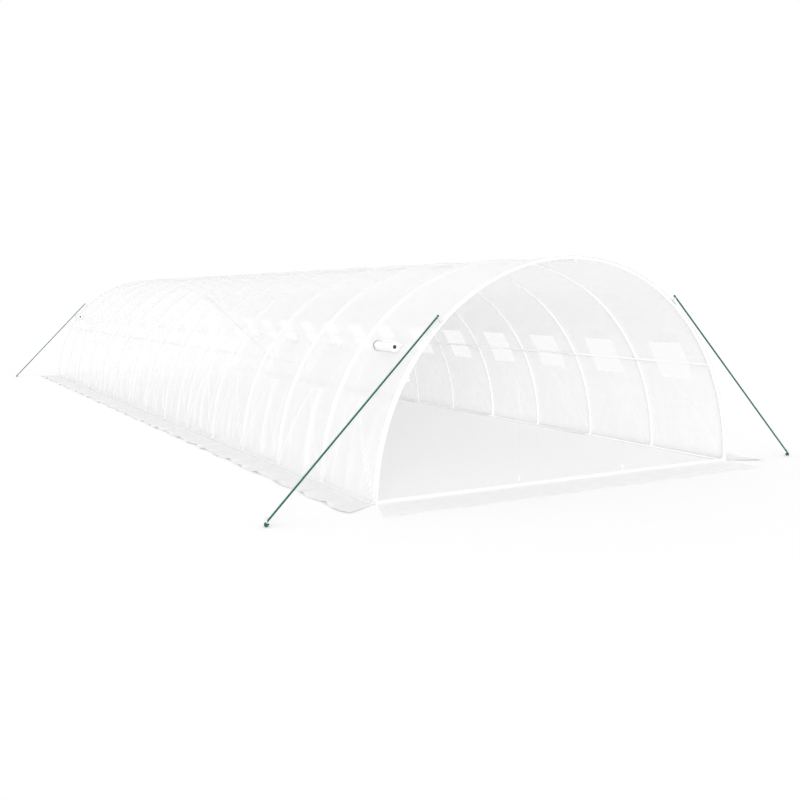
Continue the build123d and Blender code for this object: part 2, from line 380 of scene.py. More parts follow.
# the darker inner colours (0.70) are painted shade, for the dim inside of the tunnel
cover_film = film_finish("cover_film", 0.46, 0.36, 0.50, grey(0.95), shaded_inside=grey(0.70), low_inside=0.70,
                         on_hoops=0.20, in_folds=0.30, ground_from=WALL_LENGTH)
end_film = film_finish("end_film", 0.07, 0.40, 0.07, grey(0.90), shaded_inside=grey(0.70), in_folds=0.07,
                       roughness=0.25)
skirt_film = film_finish("skirt_film", 0.55, 0.55, 0.20, (0.82, 0.82, 0.815), in_folds=0.2)
flap_film = film_finish("flap_film", 0.06, 0.06, 0.06, grey(0.95), in_folds=0.80)
seam_film = film_finish("seam_film", 0.06, 0.01, 0.06, grey(0.95), in_folds=0.02)
zip_film = film_finish("zip_film", 0.015, 0.015, 0.015, grey(0.95), in_folds=0.1)

# %% Window net
NET_SPACING, NET_YARN = 0.004, 0.22


def net_finish():
    """White insect net: yarns with holes between them, with painted shade in the hollows and on the inner
    face.
    """
    material, tree, shader = new_material("window_net")
    cloth_map = add_node(tree, "ShaderNodeUVMap", {"uv_map": "Cloth"}).outputs["UV"]
    hem = add_node(tree, "ShaderNodeAttribute", {"attribute_name": "fold"}).outputs["Fac"]
    yarn = use_group(tree, threads, Map=cloth_map, Spacing=NET_SPACING, Share=NET_YARN)
    alpha = add_node(tree, "ShaderNodeMath", {"operation": "MAXIMUM"}, i0=yarn.outputs["Mask"], i1=hem)
    alpha = add_node(tree, "ShaderNodeMapRange", None, Value=alpha.outputs[0],
                     To_Min=by_side(tree, 0.44, 0.14, 0.50), To_Max=by_side(tree, 0.56, 0.46, 0.90))
    # painted shade: the hollows between the yarns and the whole inner face are given darker greys
    shaded_hollow = by_face(tree, grey(0.93), grey(0.82))
    lit_crown = by_face(tree, grey(0.96), grey(0.90))
    shade = add_node(tree, "ShaderNodeMix", {"data_type": "RGBA"}, Factor=yarn.outputs["Height"], A=shaded_hollow,
                     B=lit_crown)
    bump = add_node(tree, "ShaderNodeBump", None, Strength=0.4, Distance=0.001, Height=yarn.outputs["Height"])
    tree.links.new(shade.outputs["Result"], shader.inputs["Base Color"])
    tree.links.new(alpha.outputs[0], shader.inputs["Alpha"])
    tree.links.new(bump.outputs["Normal"], shader.inputs["Normal"])
    shader.inputs["Roughness"].default_value = 0.6
    return material


window_net = net_finish()
print("finish", window_net.name)

# %% Coated steel, zinc, rope and webbing
def solid_finish(name, colour, dark_colour, scale, roughness, metallic=0.0, bump_size=0.0004):
    """Finish with two tones mixed by a cloud, uneven roughness and a fine skin."""
    material, tree, shader = new_material(name)
    place = add_node(tree, "ShaderNodeTexCoord").outputs["Object"]
    patches = use_group(tree, cloud, Vector=place, Scale=scale, Contrast=2.0).outputs["Mask"]
    skin = use_group(tree, cloud, Vector=place, Scale=scale * 40, Contrast=1.2).outputs["Mask"]
    tint = add_node(tree, "ShaderNodeMix", {"data_type": "RGBA"}, Factor=patches)
    tint.inputs["A"].default_value = (*dark_colour, 1)
    tint.inputs["B"].default_value = (*colour, 1)
    rough = add_node(tree, "ShaderNodeMapRange", None, Value=skin, To_Min=roughness - 0.1,
                     To_Max=roughness + 0.1)
    bump = add_node(tree, "ShaderNodeBump", None, Strength=0.3, Distance=bump_size, Height=skin)
    tree.links.new(tint.outputs["Result"], shader.inputs["Base Color"])
    tree.links.new(rough.outputs["Result"], shader.inputs["Roughness"])
    tree.links.new(bump.outputs["Normal"], shader.inputs["Normal"])
    shader.inputs["Metallic"].default_value = metallic
    print("finish", name)
    return material


coated_tube = solid_finish("coated_tube", grey(0.97), (0.93, 0.93, 0.925), 6.0, 0.38)
zinc_steel = solid_finish("zinc_steel", (0.78, 0.79, 0.80), (0.62, 0.63, 0.64), 30.0, 0.42, metallic=0.9)
green_rope = solid_finish("green_rope", (0.005, 0.150, 0.095), (0.002, 0.082, 0.053), 60.0, 0.62,
                          bump_size=0.001)
white_webbing = solid_finish("white_webbing", (0.88, 0.88, 0.87), (0.74, 0.74, 0.73), 40.0, 0.75,
                             bump_size=0.001)
flap_tape = solid_finish("flap_tape", grey(0.95), grey(0.90), 40.0, 0.7)
grey_tape = solid_finish("grey_tape", (0.42, 0.42, 0.43), (0.30, 0.30, 0.31), 40.0, 0.7)
dark_plastic = solid_finish("dark_plastic", (0.020, 0.020, 0.021), (0.010, 0.010, 0.011), 30.0, 0.45)

# %% [markdown]
# ## Sheets in code
# A sheet is a grid of points that is bent into place, so one function turns any grid into a mesh. Each
# sheet keeps a flat map of itself in metres, called Cloth, so that scrim and bands follow the cloth, and an
# attribute called fold, which tells the finish where the film is creased or sewn double.

# %% Grid to mesh
def sheet_from_grid(name, points, flat_map, fold, keep=None, turned=False):
    """Mesh of a grid with its flat map and folds. keep says which cells stay, turned swaps its sides."""
    rows, columns = points.shape[:2]
    index = np.arange(rows * columns).reshape(rows, columns)
    corners = np.stack([index[:-1, :-1], index[1:, :-1], index[1:, 1:], index[:-1, 1:]], axis=-1)
    cells = corners[keep] if keep is not None else corners.reshape(-1, 4)
    used, cells = np.unique(cells, return_inverse=True)
    cells = cells.reshape(-1, 4)[:, ::-1 if turned else 1]
    mesh = bpy.data.meshes.new(name)
    mesh.from_pydata(points.reshape(-1, 3)[used].tolist(), [], cells.tolist())
    layer = mesh.uv_layers.new(name="Cloth")
    layer.data.foreach_set("uv", flat_map.reshape(-1, 2)[used][cells.ravel()].astype(np.float32).ravel())
    folds = mesh.attributes.new("fold", "FLOAT", "POINT")
    folds.data.foreach_set("value", fold.reshape(-1)[used].astype(np.float32))
    mesh.polygons.foreach_set("use_smooth", np.ones(len(cells), bool))
    mesh.update()
    piece = bpy.data.objects.new(name, mesh)
    bpy.context.scene.collection.objects.link(piece)
    return piece


def dress(piece, finish, slot, *nodes):
    """Gives a finished piece its material, its body and the nodes that it stands for. slot is not used."""
    piece.data.materials.clear()
    piece.data.materials.append(finish)
    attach(piece, "root")
    if nodes:
        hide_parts(*nodes)
    triangles = sum(len(face.vertices) - 2 for face in piece.data.polygons)
    print(f"{piece.name}: {triangles} triangles")
    return piece


def steps(*stops):
    """Places along a line: pairs of a stop and the number of cells that lead to it."""
    places = [np.array([stops[0]])]
    for stop, cells in stops[1:]:
        places.append(np.linspace(places[-1][-1], stop, cells + 1)[1:])
    return np.concatenate(places)


# %% [markdown]
# ## The cover
# On the real tunnel one film goes over everything: out on the ground, up one wall, over the roof and down
# to the ground again. It lies tight on each hoop, falls in a little between them, and hangs in slack folds
# near the foot. A simulation would have to be steered into that, so the folds are written as a formula of
# the place on the sheet.

# %% The cover's section
BEND = 0.03
SIDE_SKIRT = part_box("right_skirt")[1].x - RADIUS
SIDE_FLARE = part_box("right_skirt")[1].y - HALF_LENGTH
WALL_ARC = COVER_RADIUS * (math.pi / 2 - math.asin(BEND / COVER_RADIUS))
BEND_ARC = BEND * math.pi / 2
COVER_REACH = WALL_ARC + BEND_ARC + SIDE_SKIRT - BEND


def cover_section(around):
    """Distance out, height and both parts of the normal, at a distance from the ridge along the film."""
    way = np.abs(around)
    turn = np.minimum(way, WALL_ARC) / COVER_RADIUS
    out, up = COVER_RADIUS * np.sin(turn), COVER_RADIUS * np.cos(turn)
    normal_out, normal_up = np.sin(turn), np.cos(turn)
    bend = np.clip((way - WALL_ARC) / BEND, 0, math.pi / 2)
    bending = way > WALL_ARC
    foot = COVER_RADIUS * math.sin(WALL_ARC / COVER_RADIUS)
    flat = np.maximum(way - WALL_ARC - BEND_ARC, 0)
    out = np.where(bending, foot + BEND - BEND * np.cos(bend) + flat, out)
    up = np.where(bending, BEND - BEND * np.sin(bend), up)
    normal_out = np.where(bending, np.cos(bend), normal_out)
    normal_up = np.where(bending, np.sin(bend), normal_up)
    return out, up, normal_out, normal_up, flat


print(f"film from edge to edge {2 * COVER_REACH:.3f} m")

# %% The cover's folds
HOOP_DIP, DIP_WIDTH = 0.003, 0.075
BAY_SAG = 0.007
RISING_FOLD, FALLING_FOLD = 0.010, 0.008
LONG_FOLD_WIDTH, LONG_FOLD_REACH = 0.022, 0.80
SLACK_FOLDS = 3
FULL_CREASE = 0.012
RIGHT_SIDE_SLACK, RIGHT_SIDE_KEY = 0.4, 40
FIRM_FROM, FOLDS_FROM = 0.25, 0.05
SKIRT_RIPPLE = 0.020
SIDE_EDGE_WAVE = 0.014
FLOOR_CLEAR = 0.002


def scatter(bay, number):
    """A fixed number from 0 to 1 for each bay and fold, spread as if at random."""
    value = np.sin(bay * 12.9898 + number * 78.233 + 4.1) * 43758.5453
    return value - np.floor(value)


def ridge(share, middle, width):
    """Rounded crest across the bay, 1 at its middle."""
    return np.exp(-(((share - middle) / width) ** 2))


def wall_folds(along, height, side):
    """Slack near the foot of the wall: a V of folds from the two hoop feet, and loose folds between."""
    bay = np.clip(np.floor((along - hoop_places[0]) / PITCH), 0, len(bay_centres) - 1)
    share = (along - hoop_places[0]) / PITCH - bay
    key = bay + RIGHT_SIDE_KEY * (side > 0)
    lift = RISING_FOLD * (0.5 + 0.5 * scatter(key, 1)) * ridge(share, 0.02 + 0.72 * height, LONG_FOLD_WIDTH)
    lift += FALLING_FOLD * scatter(key, 2) * ridge(share, 0.98 - 0.55 * height, LONG_FOLD_WIDTH)
    lift *= np.exp(-((height / LONG_FOLD_REACH) ** 4))
    for number in range(SLACK_FOLDS):
        middle = 0.12 + 0.76 * (number + 0.8 * scatter(key, 3 + number)) / SLACK_FOLDS
        lean = (scatter(key, 7 + number) - 0.5) * 0.30
        width = 0.030 + 0.030 * scatter(key, 13 + number)
        size = 0.003 + 0.006 * scatter(key, 17 + number) ** 2
        reach = 0.40 + 0.50 * scatter(key, 23 + number)
        lift += size * ridge(share, middle + lean * height, width) * np.exp(-((height / reach) ** 2))
    return lift * np.where(side > 0, RIGHT_SIDE_SLACK, 1.0)


def ground_ripple(along, share):
    """Lift of a skirt off the ground, from almost none at the wall to waves at its edge."""
    waves = np.sin(along * 15.1 + 1.7 * np.sin(along * 2.3))
    waves = waves + 0.7 * np.sin(along * 27.7 + 2.0 * np.sin(along * 3.1))
    return FLOOR_CLEAR + SKIRT_RIPPLE * share ** 1.5 * np.clip(0.35 + 0.4 * waves, 0, None)


def cover_points(along, around):
    """Places of the cover's points and how creased it is there."""
    out, up, normal_out, normal_up, flat = cover_section(around)
    side = np.sign(around)
    gap = np.abs((along - hoop_places[0] + PITCH / 2) % PITCH - PITCH / 2)
    inside = np.abs(along) < hoop_places[-1]
    height = np.maximum(WALL_ARC - np.abs(around), 0)
    dip = HOOP_DIP * (1 - np.exp(-((gap / DIP_WIDTH) ** 2))) + BAY_SAG * np.sin(math.pi * gap / PITCH) ** 2
    above_ground = np.clip(height / FIRM_FROM, 0, 1)
    folds = wall_folds(along, height, side) * np.clip(height / FOLDS_FROM, 0, 1)
    push = inside * (folds - dip * above_ground)
    share = flat / (SIDE_SKIRT - BEND)
    ripple = np.where(flat > 0, ground_ripple(along + 1.3 * side, share), FLOOR_CLEAR)
    edge = SIDE_EDGE_WAVE * share * np.sin(along * 9.7 + 2.0 * np.sin(along * 1.9) + side)
    spread = along * (1 + share * SIDE_FLARE / HALF_LENGTH)
    x = side * (out + normal_out * push + edge)
    z = up + normal_up * push + np.where(np.abs(around) > WALL_ARC, ripple, 0)
    crease = np.clip(folds / FULL_CREASE, 0, 1) + 0.5 * np.clip(ripple / SKIRT_RIPPLE, 0, 1) * (flat > 0)
    return np.stack([x, spread, z], axis=-1), crease


# %% Cut and hang the cover
window_top = COVER_RADIUS * (math.pi / 2 - window_high)
window_foot = COVER_RADIUS * (math.pi / 2 - window_low)
SIDE_CELLS, WINDOW_CELLS = 8, 14
ROOF_ROWS, WINDOW_ROWS, WALL_ROWS, BEND_ROWS, SKIRT_ROWS = 40, 12, 22, 4, 9

half_rows = steps(0.0, (window_top, ROOF_ROWS), (window_foot, WINDOW_ROWS), (WALL_ARC, WALL_ROWS),
                  (WALL_ARC + BEND_ARC, BEND_ROWS), (COVER_REACH, SKIRT_ROWS))
around_stops = np.concatenate([-half_rows[:0:-1], half_rows])
along_stops = [-HALF_LENGTH, (hoop_places[0], 1)]
for centre in bay_centres:
    along_stops += [(centre - WINDOW_WIDTH / 2, SIDE_CELLS), (centre + WINDOW_WIDTH / 2, WINDOW_CELLS)]
    along_stops += [(centre + PITCH / 2, SIDE_CELLS)]
along_stops = steps(*along_stops, (HALF_LENGTH, 1))

along, around = np.meshgrid(along_stops, around_stops, indexing="ij")
points, crease = cover_points(along, around)
cell_along = (along_stops[1:] + along_stops[:-1]) / 2
cell_around = np.abs(around_stops[1:] + around_stops[:-1]) / 2
bay_gap = np.abs((cell_along - hoop_places[0]) % PITCH - PITCH / 2)
in_row = (cell_around > window_top) & (cell_around < window_foot)
in_window = (bay_gap < WINDOW_WIDTH / 2)[:, None] & in_row[None, :]
cover = sheet_from_grid("cover_film", points, np.stack([along, around], axis=-1), crease, ~in_window,
                        turned=True)
dress(cover, cover_film, "film", "left_wall_film", "roof_film", "right_wall_film", "left_skirt",
      "right_skirt")

# %% [markdown]
# ## Window nets
# Each bay has a net window on both sides, sewn into the film. The net is cut from the same surface as the
# cover, so its edge meets the film all round, and a folded binding runs along the seam.

# %% Sew in the nets
BINDING = 0.028
BINDING_PROUD = 0.0012


def window_grid(centre, side):
    """Grid over one window, on the same surface as the cover."""
    along_line = np.linspace(centre - WINDOW_WIDTH / 2, centre + WINDOW_WIDTH / 2, WINDOW_CELLS + 1)
    around_line = np.linspace(window_top, window_foot, WINDOW_ROWS + 1) * side
    along, around = np.meshgrid(along_line, around_line, indexing="ij")
    return cover_points(along, around)[0], np.stack([along, around], axis=-1)


def with_border(low, high, cells):
    """Line from edge to edge, with a cell of the binding's width over each edge."""
    half = BINDING / 2
    return np.concatenate([[low - half], np.linspace(low + half, high - half, cells - 1), [high + half]])


def window_binding(name, centre, side):
    """Folded strip sewn over the edge of one window, a little proud of the film."""
    along_line = with_border(centre - WINDOW_WIDTH / 2, centre + WINDOW_WIDTH / 2, WINDOW_CELLS + 1)
    around_line = with_border(window_top, window_foot, WINDOW_ROWS + 1) * side
    along, around = np.meshgrid(along_line, around_line, indexing="ij")
    points = cover_points(along, around)[0]
    turn = around / COVER_RADIUS
    points += BINDING_PROUD * np.stack([np.sin(turn), np.zeros_like(turn), np.cos(turn)], axis=-1)
    edge = np.ones((WINDOW_CELLS + 1, WINDOW_ROWS + 1), bool)
    edge[1:-1, 1:-1] = False
    return sheet_from_grid(name, points, np.stack([along, around], axis=-1), np.ones(points.shape[:2]), edge,
                           turned=side > 0)


def join(pieces, name):
    """Joins several pieces into the first and names it."""
    deselect()
    for piece in pieces:
        piece.select_set(True)
    bpy.context.view_layer.objects.active = pieces[0]
    bpy.ops.object.join()
    pieces[0].name = name
    pieces[0].data.name = name
    return pieces[0]


for side_name, side in SIDES:
    nets = []
    for number, centre in enumerate(bay_centres):
        points, flat_map = window_grid(centre, side)
        nets.append(sheet_from_grid(f"net_{side_name}_{number}", points, flat_map, np.zeros(points.shape[:2]),
                                    turned=side > 0))
    net = join(nets, f"{side_name}_window_nets")
    dress(net, window_net, "mesh", f"{side_name}_window_meshes")
    binding = join([window_binding(f"edge_{side_name}_{n}", c, side) for n, c in enumerate(bay_centres)],
                   f"{side_name}_window_bindings")
    dress(binding, seam_film, "film")

# %% [markdown]
# ## End films
# Each end is a half-round film with a doorway in it. A grid of rays from the doorway's outline to the arch
# covers it with no odd corners, and the last rings are the hem that is sewn to the cover.

# %% Outline of doorway and arch
DOOR_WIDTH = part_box("front_door")[1].x * 2
DOOR_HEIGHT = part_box("front_door")[1].z
DOOR_CORNER = 0.18
END_Y = -HALF_LENGTH + FILM_GAP
ARCH_HEM = 0.018
END_FOLD, END_BELLY, FOLDS_GONE = 0.006, 0.012, 0.10


def door_line(share, inset=0.0):
    """Points of the doorway's outline, from the left foot round to the right one."""
    half, top, corner = DOOR_WIDTH / 2 - inset, DOOR_HEIGHT - inset, DOOR_CORNER - inset
    upright, quarter, lintel = top - corner, corner * math.pi / 2, 2 * (half - corner)
    way = share * (2 * upright + 2 * quarter + lintel)
    first = np.clip((way - upright) / corner, 0, math.pi / 2)
    second = np.clip((way - upright - quarter - lintel) / corner, 0, math.pi / 2)
    x = -half + corner * (1 - np.cos(first)) + np.clip(way - upright - quarter, 0, lintel)
    x = x + corner * np.sin(second)
    z = np.minimum(way, upright) + corner * np.sin(first) - corner * (1 - np.cos(second))
    z = z - np.clip(way - upright - 2 * quarter - lintel, 0, upright)
    return x, z


def end_billow(x, z):
    """How far the end film stands out from its plane: soft tension folds from the arch and a slight belly."""
    turn = np.arctan2(z, x)
    far = np.hypot(x, z) / RADIUS
    folds = np.sin(turn * 23 + 2.0 * np.sin(turn * 5)) * 0.5 + 0.5
    belly = END_BELLY * np.sin(math.pi * np.clip(z / DOOR_HEIGHT, 0, 1)) * np.clip(1 - far ** 2, 0, 1)
    return END_FOLD * folds * far ** 3 * np.clip((1 - far) / FOLDS_GONE, 0, 1) + belly


print(f"doorway {DOOR_WIDTH:.2f} by {DOOR_HEIGHT:.2f} m")

# %% Make both ends
RAYS, RINGS = 144, 26
DOOR_POINTS = 41
SEAM_SHARE, HEM_SHARE = 0.03, 0.01
SEAM = 0.05
HEM_GAP = 0.002


def end_points(x, z, end):
    """Points on the front (-1) or rear (1) end."""
    y = end * (-END_Y + end_billow(x, z))
    return np.stack([x, y, z], axis=-1)


for end_name, end in ENDS:
    share = np.linspace(0, 1, RAYS + 1)
    inner_x, inner_z = door_line(share)
    arch = math.pi * (1 - share)
    hem_start = 1 - ARCH_HEM / (RADIUS - DOOR_WIDTH / 2)
    ring = steps(0.0, (SEAM_SHARE, 1), (hem_start - HEM_SHARE, RINGS), (hem_start, 1), (1.0, 3))
    edge_radius = COVER_RADIUS - HEM_GAP
    x = inner_x[:, None] + (edge_radius * np.cos(arch) - inner_x)[:, None] * ring[None, :]
    z = inner_z[:, None] + (edge_radius * np.sin(arch) - inner_z)[:, None] * ring[None, :]
    hem = np.where(ring >= hem_start, 1.0, np.where(ring <= SEAM_SHARE, SEAM, 0.0))
    hem = np.broadcast_to(hem[None, :], x.shape)
    panel = sheet_from_grid(f"{end_name}_panel_film", end_points(x, z, end), np.stack([x, z], axis=-1), hem,
                            turned=end > 0)
    dress(panel, end_film, "film", f"{end_name}_panel")

    across = np.linspace(0, 1, DOOR_POINTS)[:, None]
    left_x, left_z = door_line(np.linspace(0, 0.5, DOOR_POINTS))
    x = left_x[None, :] * (1 - 2 * across)
    z = np.broadcast_to(left_z[None, :], x.shape)
    hem = np.where((across < SEAM_SHARE) | (across > 1 - SEAM_SHARE), SEAM, 0.0)
    hem = np.broadcast_to(hem, x.shape)
    door = sheet_from_grid(f"{end_name}_door_film", end_points(x, z, end), np.stack([x, z], axis=-1), hem,
                           turned=end > 0)
    dress(door, end_film, "film", f"{end_name}_door")

# %% [markdown]
# ## End skirts
# The film of each end also runs out on the ground. It is the same flat strip as the side skirts, with a
# bend at the foot of the end film, waves at its edge and slanted ends.

# %% Lay the end skirts
END_SKIRT = -HALF_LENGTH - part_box("front_skirt")[0].y
END_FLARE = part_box("front_skirt")[1].x - RADIUS
LOOSE_FLARE = 0.02
SKIRT_CLEAR = 0.004
END_EDGE_WAVE = 0.012
END_POINTS, END_ROWS = 121, 12

for end_name, end in ENDS:
    across_line = np.linspace(-RADIUS + SKIRT_CLEAR, RADIUS - SKIRT_CLEAR, END_POINTS)
    way_line = steps(0.0, (BEND_ARC, BEND_ROWS), (END_SKIRT - BEND + BEND_ARC, END_ROWS))
    across, way = np.meshgrid(across_line, way_line, indexing="ij")
    bend = np.clip(way / BEND, 0, math.pi / 2)
    flat = np.maximum(way - BEND_ARC, 0)
    share = flat / (END_SKIRT - BEND)
    ripple = np.where(flat > 0, ground_ripple(across * 0.8 + 4.1 * end, share), FLOOR_CLEAR)
    out = BEND - BEND * np.cos(bend) + flat + END_EDGE_WAVE * share * np.sin(across * 8.3 + end)
    flare = np.where(across * end > 0, END_FLARE, LOOSE_FLARE)
    x = across * (1 + share * flare / RADIUS)
    z = BEND - BEND * np.sin(bend) + ripple
    crease = 0.6 * np.clip(ripple / SKIRT_RIPPLE, 0, 1)
    points = np.stack([x, end * (-END_Y + out), z], axis=-1)
    skirt = sheet_from_grid(f"{end_name}_skirt_film", points, np.stack([across, way], axis=-1), crease,
                            turned=end < 0)
    dress(skirt, skirt_film, "film", f"{end_name}_skirt")

# %% [markdown]
# ## Rolled flaps
# Each window has a film flap that is rolled up above it. The flap comes down the wall from its seam, curls
# outwards and winds in on itself, so its section is a straight tail and a spiral of nearly two turns.

# %% Shape of a rolled flap
ROLL_LENGTH = 0.30
ROLL_DROP = 0.025
ROLL_SHIFT = 0.030
ROLL_RADIUS = 0.045
ROLL_CORE = 0.027
ROLL_TURNS = 1.7
ROLL_TAIL = 0.060
TAIL_END = 0.004
ROLL_WOBBLE, ROLL_SQUEEZE = 0.02, 0.03
TAIL_POINTS, SPIRAL_POINTS, ROLL_POINTS = 5, 52, 9
BAR_RADIUS = 0.017
roll_turn = window_high + (ROLL_RADIUS - ROLL_DROP) / RADIUS


def roll_section(bay):
    """Section of a rolled flap: distance out from the roll's middle, and up along the arch."""
    tail = np.linspace(ROLL_TAIL, TAIL_END, TAIL_POINTS)
    turn = np.linspace(0, 2 * math.pi * ROLL_TURNS, SPIRAL_POINTS)
    radius = ROLL_RADIUS + (ROLL_CORE - ROLL_RADIUS) * turn / turn[-1]
    radius = radius * (1 + ROLL_WOBBLE * np.sin(2 * turn + 5 * scatter(bay, 2)))
    out = np.concatenate([np.full(TAIL_POINTS, -ROLL_RADIUS), radius * np.cos(math.pi + turn)])
    up = np.concatenate([tail, radius * np.sin(math.pi + turn)])
    return out, up


def on_bar(bay, side):
    """Whether a flap is wound on a bar: the first and the last one on the left side."""
    return side < 0 and bay in (0, len(bay_centres) - 1)


def roll_middle(bay, side):
    """Place of a roll along the tunnel: those on bars are tied a little nearer to the end."""
    return bay_centres[bay] + (ROLL_SHIFT if bay else -ROLL_SHIFT) * on_bar(bay, side)


def roll_place(along, side):
    """Middle of a roll, at a place along the tunnel."""
    out = RADIUS + ROLL_RADIUS + FILM_GAP
    return Vector((side * out * math.cos(roll_turn), along, out * math.sin(roll_turn)))


def rolled_flap(name, bay, side):
    """One rolled flap above its window."""
    out, up = roll_section(bay)
    along = np.linspace(-0.5, 0.5, ROLL_POINTS) * ROLL_LENGTH
    squeeze = 1 - ROLL_SQUEEZE * np.cos(along / ROLL_LENGTH * 4 * math.pi + 6 * scatter(bay, 5)) ** 2
    out = out[None, :] * squeeze[:, None] + (RADIUS + ROLL_RADIUS + FILM_GAP)
    up = up[None, :] * squeeze[:, None]
    x = side * (out * math.cos(roll_turn) - up * math.sin(roll_turn))
    z = out * math.sin(roll_turn) + up * math.cos(roll_turn)
    y = np.broadcast_to((roll_middle(bay, side) + along)[:, None], x.shape)
    steps_along = np.hypot(np.diff(out, axis=1), np.diff(up, axis=1)).cumsum(axis=1)
    way = np.concatenate([np.zeros((len(along), 1)), steps_along], axis=1)
    dense = np.full(x.shape, float(on_bar(bay, side)))
    return sheet_from_grid(name, np.stack([x, y, z], axis=-1), np.stack([y, way], axis=-1), dense)


def roll_end(name, along, side):
    """Wound edge of a flap on a bar: a flat ring from the bar to the outside of the roll."""
    turn = np.linspace(0, 2 * math.pi, 33)
    radius = np.linspace(BAR_RADIUS, ROLL_RADIUS * 0.98, 4)
    middle = np.array(roll_place(along, side))
    x = middle[0] + radius[None, :] * np.cos(turn)[:, None]
    z = middle[2] + radius[None, :] * np.sin(turn)[:, None]
    points = np.stack([x, np.full(x.shape, along), z], axis=-1)
    return sheet_from_grid(name, points, np.stack([x, z], axis=-1), np.ones(x.shape))


# %% Roll up the flaps
END_INSET = 0.002

for side_name, side in SIDES:
    flaps = [rolled_flap(f"flap_{side_name}_{bay}", bay, side) for bay in range(len(bay_centres))]
    for bay in range(len(bay_centres)):
        for end in (-1, 1) if on_bar(bay, side) else ():
            along = roll_middle(bay, side) + end * (ROLL_LENGTH / 2 - END_INSET)
            flaps.append(roll_end(f"end_{bay}_{end}", along, side))
    rolls = join(flaps, f"{side_name}_rolled_flaps")
    dress(rolls, flap_film, "film", f"{side_name}_window_rolls")

# %% [markdown]
# ## Tubes by hand
# The tubes are modelled the way a plumber would draw them: a ring of points is extruded along, or spun
# round the arch. Each length starts with a swaged collar that takes the end of its neighbour.

# %% Modelling helpers
TUBE_SIDES = 14


def start_ring(radius, location, rotation=(0, 0, 0), cap=False):
    """A ring of edges in edit mode, all selected, open or with a cap."""
    deselect()
    bpy.ops.mesh.primitive_circle_add(vertices=TUBE_SIDES, radius=radius, location=location,
                                      rotation=rotation, fill_type="NGON" if cap else "NOTHING")
    bpy.ops.object.mode_set(mode="EDIT")
    bpy.ops.mesh.select_all(action="SELECT")
    return bpy.context.object


def push_ring(way, centre, grow=1.0):
    """Extrudes the selected ring, and scales it about its new centre."""
    bpy.ops.mesh.extrude_region_move(TRANSFORM_OT_translate={"value": way})
    if grow != 1.0:
        bpy.ops.transform.resize(value=(grow, grow, grow), center_override=tuple(centre + Vector(way)))
    return centre + Vector(way)


def leave_edit(piece, name, smooth_angle=40):
    """Back to object mode, with outward normals, the piece's name and its place in its mesh."""
    bpy.ops.mesh.select_all(action="SELECT")
    bpy.ops.mesh.normals_make_consistent(inside=False)
    bpy.ops.object.mode_set(mode="OBJECT")
    bpy.ops.object.transform_apply(location=True, rotation=True, scale=True)
    bpy.ops.object.shade_smooth_by_angle(angle=math.radians(smooth_angle))
    piece.name = name
    piece.data.name = name
    return piece


def copy_of(piece, name, matrix):
    """Copy with its own mesh, moved by a matrix."""
    made = piece.copy()
    made.data = piece.data.copy()
    made.data.transform(matrix)
    made.name = name
    bpy.context.scene.collection.objects.link(made)
    return made


def apply_all(piece):
    """Applies a piece's modifiers in order."""
    deselect()
    piece.select_set(True)
    bpy.context.view_layer.objects.active = piece
    for modifier in list(piece.modifiers):
        bpy.ops.object.modifier_apply(modifier=modifier.name)
    return piece


# %% Bend the hoops
HOOP_SECTIONS = 6
SECTION_STEPS = 9
COLLAR_LENGTH = 0.055
COLLAR_SWELL = 1.05

section_angle = math.pi / HOOP_SECTIONS
collar_angle = COLLAR_LENGTH / HOOP_RADIUS
hoop_ring = start_ring(HOOP_TUBE / 2 * COLLAR_SWELL, (HOOP_RADIUS, 0, 0))
round_the_arch = {"center": (0, 0, 0), "axis": (0, 1, 0)}
bpy.ops.mesh.spin(steps=2, angle=collar_angle, **round_the_arch)
collar_end = Vector((math.cos(collar_angle), 0, math.sin(collar_angle))) * HOOP_RADIUS
bpy.ops.mesh.extrude_region_move(TRANSFORM_OT_translate={"value": (0, 0, 0)})
bpy.ops.transform.resize(value=(1 / COLLAR_SWELL,) * 3, center_override=collar_end)
bpy.ops.mesh.spin(steps=SECTION_STEPS, angle=section_angle - collar_angle, **round_the_arch)
bpy.ops.mesh.select_all(action="SELECT")
bpy.ops.mesh.spin(steps=HOOP_SECTIONS - 1, angle=section_angle * (HOOP_SECTIONS - 1), dupli=True,
                  **round_the_arch)
hoop_model = leave_edit(hoop_ring, "hoop_model")
low, high = Vector(hoop_model.bound_box[0]), Vector(hoop_model.bound_box[6])
print("hoop box", [round(v, 3) for v in (*low, *high)])

for name, place in zip(hoop_names, hoop_places):
    hoop = copy_of(hoop_model, f"{name}_tube", Matrix.Translation((0, place, 0)))
    dress(hoop, coated_tube, "tube", name)
bpy.data.objects.remove(hoop_model)

# %% [markdown]
# ## Straight tubes
# A ridge tube and two side tubes tie the hoops under the film, and tubes on the ground tie their feet. Those
# along the tunnel come in lengths of two bays that plug into each other, so each has a collar at every
# second hoop. Those across the ends come in three lengths.

# %% Plug the straight tubes together
LENGTH_BAYS = 2
JOINT_PAST_HOOP = 0.03
CROSS_LENGTH = 1.3
COLLAR_STEP = 0.001


